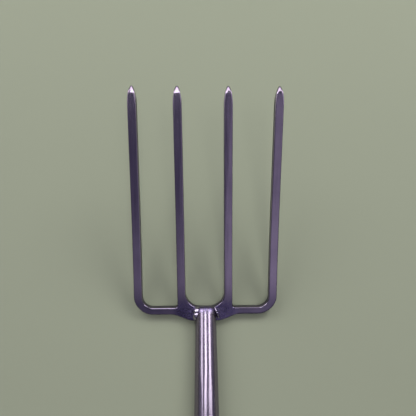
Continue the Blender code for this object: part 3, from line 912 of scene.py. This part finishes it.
def shaftPiece():
    # one skin: circles down to the throat, where each half circle and its chord carries on as an arm
    columns = 64
    around = -0.5 * np.pi + np.linspace(0.0, 2.0 * np.pi, columns, endpoint=False)
    y, wide, thick = shaftProfile()
    outside = y < socketShape["mouth"] - 0.004
    settle = (smoothStep((y - shaftShape["throat"][0]) / 0.02) * outside)[:, None]
    work = softWaves(y[:, None], around[None, :], 3, 6, (8.0, 30.0)) * shaftShape["handWork"] * settle
    body = np.stack([
        (wide[:, None] + work) * np.cos(around),
        np.broadcast_to(y[:, None], work.shape),
        (thick[:, None] + work) * np.sin(around),
    ], -1)
    grime = 0.75 * hump(y - socketShape["mouth"], 0.030) + 0.25 * smoothStep((-0.560 - y) / 0.06)
    layers = [(body, body, np.broadcast_to(grime[:, None], work.shape))]

    armY, inner, outer, thickness, roundness = armRows()
    middle = inner + 0.5 * roundness * (outer - inner)
    across = np.cos(around)
    reach = np.where(across > 1e-9, (outer - middle)[:, None], (middle - inner)[:, None])
    offset = middle[:, None] + reach * across
    height = thickness[:, None] * np.sin(around)
    armGrime = np.broadcast_to(0.25 + 0.35 * smoothStep((-0.745 - armY) / 0.04)[:, None], offset.shape)
    wideY = np.broadcast_to(armY[:, None], offset.shape)
    for side in (-1.0, 1.0):
        arm = np.stack([side * offset, wideY, height], -1)
        unbent = np.stack([side * (offset - inner[:, None]), wideY, height], -1)   # grain before the spread
        layers.append((arm, unbent, armGrime))

    vertices, faces, grain, dirt = [], [], [], []
    start = 0
    for k, (points, unbent, grimeHere) in enumerate(layers):
        rows = len(points)
        end = 0 if k == 0 else rows - 1   # the body is capped in the bore, each arm at its own end
        vertices.append(np.vstack([points.reshape(-1, 3), points[end].mean(0)]))
        grain.append(np.vstack([unbent.reshape(-1, 3), unbent[end].mean(0)]))
        dirt.append(np.concatenate([grimeHere.ravel(), grimeHere[-1, :1]]))
        ring = start + end * columns + np.arange(columns)
        faces += gridFaces(rows, columns, start).tolist()
        faces += fanFaces(ring, start + rows * columns).tolist()
        start += rows * columns + 1
    carried = {"grain": np.vstack(grain), "grime": np.concatenate(dirt)[:, None]}
    makePiece("ashShaft", np.vstack(vertices), faces, carried, ashWood, ["shaft"], "ash_wood")


gripShape = {
    "endRadius": 0.0125,
    "middleRadius": 0.0160,
    "gap": 0.0003,
    "swellPower": 1.4,
    "lines": (0.0285, 0.0315),   # turned lines, distance from the middle
    "lineDepth": 0.0004,
    "lineWidth": 0.0006,
    "endRound": (0.0015, 0.0012),   # length and depth of the rounding at the ends
}


def turnedAcross(profileX, profileR, centre, columns):
    # a profile of radii turned about the X axis through a point on the handle axis
    around = fullTurn(columns)
    shape = (len(profileX), columns)
    return np.stack([
        np.broadcast_to(profileX[:, None], shape),
        centre + profileR[:, None] * np.cos(around),
        profileR[:, None] * np.sin(around),
    ], -1)


def gripPiece():
    # full in the middle by a power of a cosine, eased at the ends, with two turned lines at each end
    length = shaftShape["armInside"] - gripShape["gap"]
    centre = alongHandle(gripCentre)
    x = length * np.sin(0.5 * np.pi * np.linspace(-1.0, 1.0, 150))
    swell = np.cos(0.5 * np.pi * x / length * 0.999) ** gripShape["swellPower"]
    radius = gripShape["endRadius"] + (gripShape["middleRadius"] - gripShape["endRadius"]) * swell
    for line in gripShape["lines"]:
        radius = radius - gripShape["lineDepth"] * hump(np.abs(x) - line, gripShape["lineWidth"])
    roundLength, roundDepth = gripShape["endRound"]
    fromEnd = np.clip((length - np.abs(x)) / roundLength, 0.0, 1.0)
    radius = radius - roundDepth * (1.0 - np.sqrt(1.0 - (1.0 - fromEnd) ** 2 * 0.98))
    points = turnedAcross(x, radius, centre, 72)
    grain = np.stack([points[..., 1] - centre, points[..., 0], points[..., 2]], -1)
    grime = 0.30 + 0.45 * hump(np.abs(x) - 0.036, 0.006) + 0.12 * swell
    extras = {"grain": grain, "grime": np.broadcast_to(grime[:, None], points.shape[:2])}
    makeTube("turnedGrip", points, extras, gripWood, ["grip"], "grip_wood")


shaftPiece()
gripPiece()
print("handle made")

# Rivets and washers

rivets = {
    "socketRivetUpper": {"node": "socket_rivet_upper", "place": upperRivet, "shank": 0.0025, "seed": 41},
    "socketRivetLower": {"node": "socket_rivet_lower", "place": lowerRivet, "shank": 0.0025, "seed": 42},
    "gripRivet": {"node": "grip_rivet", "place": gripCentre, "shank": 0.0030, "seed": 43},
    "throatRivet": {"node": "throat_rivet", "place": throatRivet, "shank": 0.0022, "seed": 44},
}
headRatio = {"radius": 1.9, "dome": 0.75, "edge": 0.22, "dents": 0.00012}   # shank radii, dents in metres
washerShape = {"bore": 0.36, "squareness": 0.45, "wobble": 0.012, "seed": 60}
washers = {
    "gripWasherLeft": "grip_washer_left",
    "gripWasherRight": "grip_washer_right",
    "throatWasherLeft": "throat_washer_left",
    "throatWasherRight": "throat_washer_right",
}


def rivetPiece(name, rivet):
    # shank between two low domes, each an ellipse quarter over a small upright edge, dented by the hammer
    low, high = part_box(rivet["node"])
    shank = rivet["shank"]
    head, dome = headRatio["radius"] * shank, headRatio["dome"] * shank
    seat = 0.5 * (high[0] - low[0]) - dome
    turn = np.linspace(0.0, 0.5 * np.pi, 16)[:-1]
    domeX = seat + dome * (headRatio["edge"] + (1.0 - headRatio["edge"]) * np.sin(turn))
    right = np.concatenate([[seat, seat + 0.00005], domeX])
    rightR = np.concatenate([[shank, head * 0.985], head * np.cos(turn)])
    x = np.concatenate([-right[::-1], right])
    radius = np.concatenate([rightR[::-1], rightR])
    points = turnedAcross(x, radius, alongHandle(rivet["place"]), 40)
    dents = softWaves(radius[:, None] * 0.6, fullTurn(40)[None, :], rivet["seed"], 6, (400.0, 1500.0))
    dents = headRatio["dents"] * dents
    points[..., 0] += np.sign(x)[:, None] * dents * (np.abs(x) > seat)[:, None]
    grain = np.stack([points[..., 1], points[..., 0], points[..., 2]], -1)
    rim = hump(radius - head * 0.9, 0.15 * head)[:, None]
    shape = points.shape[:2]
    extras = {"grain": grain, "edge": np.broadcast_to(rim, shape), "forge": np.full(shape, 0.35)}
    makeTube(name, points, extras, rivetSteel, [rivet["node"]], "rivet_steel")


def washerPiece(name, node, seed):
    # a rounded square section turned about X, a little out of round
    low, high = (np.array(corner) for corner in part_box(node))
    centre = alongHandle(0.5 * (low + high))
    outer = 0.5 * (high[2] - low[2])
    middleX, half = 0.5 * (low[0] + high[0]), 0.5 * (high[0] - low[0])
    bore = washerShape["bore"] * outer
    around, turn = fullTurn(56), fullTurn(24)
    circle = np.array([np.cos(turn), np.sin(turn)])
    squareX, squareR = np.sign(circle) * np.abs(circle) ** washerShape["squareness"]
    radius = 0.5 * (outer + bore) + 0.5 * (outer - bore) * squareR
    wobble = 1.0 + washerShape["wobble"] * softWaves(0.0, around[:, None], seed, 5)
    ringX = middleX + half * 0.96 * squareX[None, :] + 0.0 * around[:, None]
    points = np.stack([
        ringX,
        centre + radius[None, :] * wobble * np.cos(around)[:, None],
        radius[None, :] * wobble * np.sin(around)[:, None],
    ], -1)
    rows, columns, _ = points.shape
    wrapped = np.vstack([points, points[:1]]).reshape(-1, 3)
    faces = gridFaces(rows + 1, columns).tolist()
    grain = wrapped[:, [1, 0, 2]]
    edge = np.tile(np.abs(squareX * squareR) ** 3, rows + 1)[:, None]
    carried = {"grain": grain, "edge": edge, "forge": np.full((len(wrapped), 1), 0.3)}
    makePiece(name, wrapped, faces, carried, rivetSteel, [node], "rivet_steel")


for name, rivet in rivets.items():
    rivetPiece(name, rivet)
for seed, (name, node) in enumerate(washers.items(), washerShape["seed"]):
    washerPiece(name, node, seed)
print("rivets and washers made")

# Floor, lights and camera

studio = {
    "floor": (0.296, 0.320, 0.230),
    "floorSize": 60.0,
    "high": (0.118, 0.112, 0.172),      # dim violet-grey of the room
    "low": (0.120, 0.130, 0.102),       # greener round the horizon
}
strips = {
    "stripLeft": {"angle": -45.0, "width": 13.5, "radiance": 3.4},
    "stripMiddle": {"angle": -5.0, "width": 14.5, "radiance": 5.6},
    "stripRight": {"angle": 37.0, "width": 15.5, "radiance": 5.0},
}
stripPlace = {"distance": 1.45, "nearEnd": 0.04, "farEnd": 1.10}
white, blush, violet = (1.0, 1.0, 1.0), (1.0, 0.95, 0.97), (0.90, 0.84, 1.0)
panels = {   # location, target, size, radiance, who sees it, colour
    "softboxTips": ((0.0, 1.60, 1.45), (0.0, 0.5, 0.1), (1.6, 1.0), 3.0, "metal", blush),
    "cornerLeft": ((-1.40, 1.20, 0.95), (0.0, 0.2, 0.05), (1.2, 0.9), 5.0, "metal", blush),
    "cornerRight": ((1.40, 1.20, 0.95), (0.0, 0.2, 0.05), (1.2, 0.9), 5.0, "metal", blush),
    "fillRight": ((0.85, -0.85, 1.60), (0.0, 0.4, 0.05), (1.5, 1.2), 0.26, "metal", violet),
    "fillLow": ((-0.1, -1.10, 1.25), (0.0, 0.3, 0.05), (1.6, 0.5), 0.16, "metal", violet),
    "key": ((1.0, 1.7, 1.45), (0.0, 0.2, 0.0), (0.9, 0.9), 8.6, "floor", white),
    "wash": ((-1.05, 1.7, 1.3), (0.0, 0.2, 0.0), (1.5, 1.5), 3.1, "floor", white),
}
frontLight = {"height": 0.10, "distance": 1.65, "aside": 0.22, "size": (0.42, 0.42), "radiance": 9.0}
sky = {"angle": np.radians(100.0), "strength": 0.58}


def makeFloor():
    size = studio["floorSize"]
    mesh = bpy.data.meshes.new("floor")
    corners = [(-size, -size, 0.0), (size, -size, 0.0), (size, size, 0.0), (-size, size, 0.0)]
    mesh.from_pydata(corners, [], [(0, 1, 2, 3)])
    material, _, shader = newMaterial("paleSage")
    shader.inputs["Base Color"].default_value = (*studio["floor"], 1.0)
    shader.inputs["Roughness"].default_value = 0.85
    shader.inputs["Specular IOR Level"].default_value = 0.2
    mesh.materials.append(material)
    floor = bpy.data.objects.new("floor", mesh)
    bpy.context.scene.collection.objects.link(floor)


def aimed(location, target):
    # matrix whose -Z looks from location to target, with X kept level
    back = np.array(location, float) - np.array(target, float)
    back /= np.linalg.norm(back)
    right = np.cross([0.0, 1.0, 0.0], back)
    right /= np.linalg.norm(right)
    up = np.cross(back, right)
    turn = Matrix(np.array([right, up, back]).T.tolist()).to_4x4()
    turn.translation = location
    return turn


def placeLight(light, location, target, seenBy):
    # a lamp either shows in the metal or lights the floor and the wood
    item = bpy.data.objects.new(light.name, light)
    item.matrix_world = aimed(location, target)
    item.visible_glossy = seenBy == "metal"
    item.visible_diffuse = seenBy == "floor"
    bpy.context.scene.collection.objects.link(item)


def makePanel(name, location, target, size, radiance, seenBy, colour=white):
    # power of a flat emitter = radiance x pi x area
    light = bpy.data.lights.new(name, "AREA")
    light.shape = "RECTANGLE"
    light.size, light.size_y = size
    light.energy = radiance * np.pi * size[0] * size[1]
    light.color = colour
    placeLight(light, location, target, seenBy)


def makeStrips():
    # three strips hang over the handle line at set angles from straight up, as seen from the neck
    distance, nearEnd, farEnd = stripPlace["distance"], stripPlace["nearEnd"], stripPlace["farEnd"]
    neckHeight = float(toWorld(np.array([0.0, -0.070, 0.0]))[2])
    middleY = 0.5 * (nearEnd + farEnd)
    for name, strip in strips.items():
        angle = np.radians(strip["angle"])
        location = (distance * np.sin(angle), middleY, neckHeight + distance * np.cos(angle))
        width = 2.0 * distance * np.tan(np.radians(0.5 * strip["width"]))
        target, size = (0.0, middleY, neckHeight), (width, farEnd - nearEnd)
        makePanel(name, location, target, size, strip["radiance"], "metal")


def makeWorld():
    # greenish at the horizon, easing to the violet-grey of the room above
    world = bpy.data.worlds.new("studio")
    world.use_nodes = True
    tree = world.node_tree
    direction = tree.nodes.new("ShaderNodeTexCoord").outputs["Generated"]
    height = tree.nodes.new("ShaderNodeSeparateXYZ")
    tree.links.new(direction, height.inputs["Vector"])
    share = ranged(tree, height.outputs["Z"], 0.05, 0.40, 0.0, 1.0)
    colour = blended(tree, share, studio["low"], studio["high"])
    tree.links.new(colour, tree.nodes["Background"].inputs["Color"])
    bpy.context.scene.world = world


view = {
    "lens": 34.6,
    "sensor": 36.0,
    "tilt": np.radians(11.086),   # view axis against the head's normal
    "foot": 0.2379,               # camera's foot on the head plane, above the crossbar
    "distance": 0.5016,
    "side": -0.0110,
    "roll": np.radians(-0.16),
    "swing": np.radians(1.56),    # turned a little towards the right-hand tines
}


def headAxes():
    # crossbar middle, the chord from there to the tips, and the normal of the plane they lie in
    bar = toWorld(headPoints(0.0, 0.0, 0.0))
    tip = toWorld(headPoints(0.0, headShape["tineLength"], 0.0))
    upTines = (tip - bar) / np.linalg.norm(tip - bar)
    return bar, upTines, np.cross(acrossAxis, upTines)


def viewAxes():
    # right, up and back of the view: tilted back towards the handle, swung to one side, rolled
    _, upTines, outFront = headAxes()
    level = outFront * np.cos(view["tilt"]) + upTines * np.sin(view["tilt"])
    up = upTines * np.cos(view["tilt"]) - outFront * np.sin(view["tilt"])
    back = level * np.cos(view["swing"]) - acrossAxis * np.sin(view["swing"])
    right = acrossAxis * np.cos(view["swing"]) + level * np.sin(view["swing"])
    right = np.cos(view["roll"]) * right + np.sin(view["roll"]) * up
    return right, np.cross(back, right), back


def makeLights():
    makeStrips()
    for name, panel in panels.items():
        makePanel(name, *panel)
    _, _, back = viewAxes()
    middle = toWorld(headPoints(0.0, frontLight["height"], 0.0))
    place = middle + frontLight["distance"] * back + frontLight["aside"] * acrossAxis
    size, radiance = frontLight["size"], frontLight["radiance"]
    makePanel("frontLight", tuple(place), tuple(middle), size, radiance, "floor")
    sun = bpy.data.lights.new("sky", "SUN")
    sun.angle = sky["angle"]
    sun.energy = sky["strength"]
    placeLight(sun, (0.0, 0.0, 3.0), (0.0, 0.0, 0.0), "floor")
    makeWorld()


def makeCamera():
    bar, upTines, outFront = headAxes()
    location = bar + upTines * view["foot"] + outFront * view["distance"] + acrossAxis * view["side"]
    data = bpy.data.cameras.new("camera")
    data.lens = view["lens"]
    data.sensor_width = view["sensor"]
    data.clip_start = 0.01
    camera = bpy.data.objects.new("camera", data)
    turn = Matrix(np.array(viewAxes()).T.tolist()).to_4x4()
    turn.translation = location
    camera.matrix_world = turn
    bpy.context.scene.collection.objects.link(camera)
    bpy.context.scene.camera = camera
    bpy.context.scene.view_settings.view_transform = "Standard"


makeFloor()
makeLights()
makeCamera()
print("studio made")
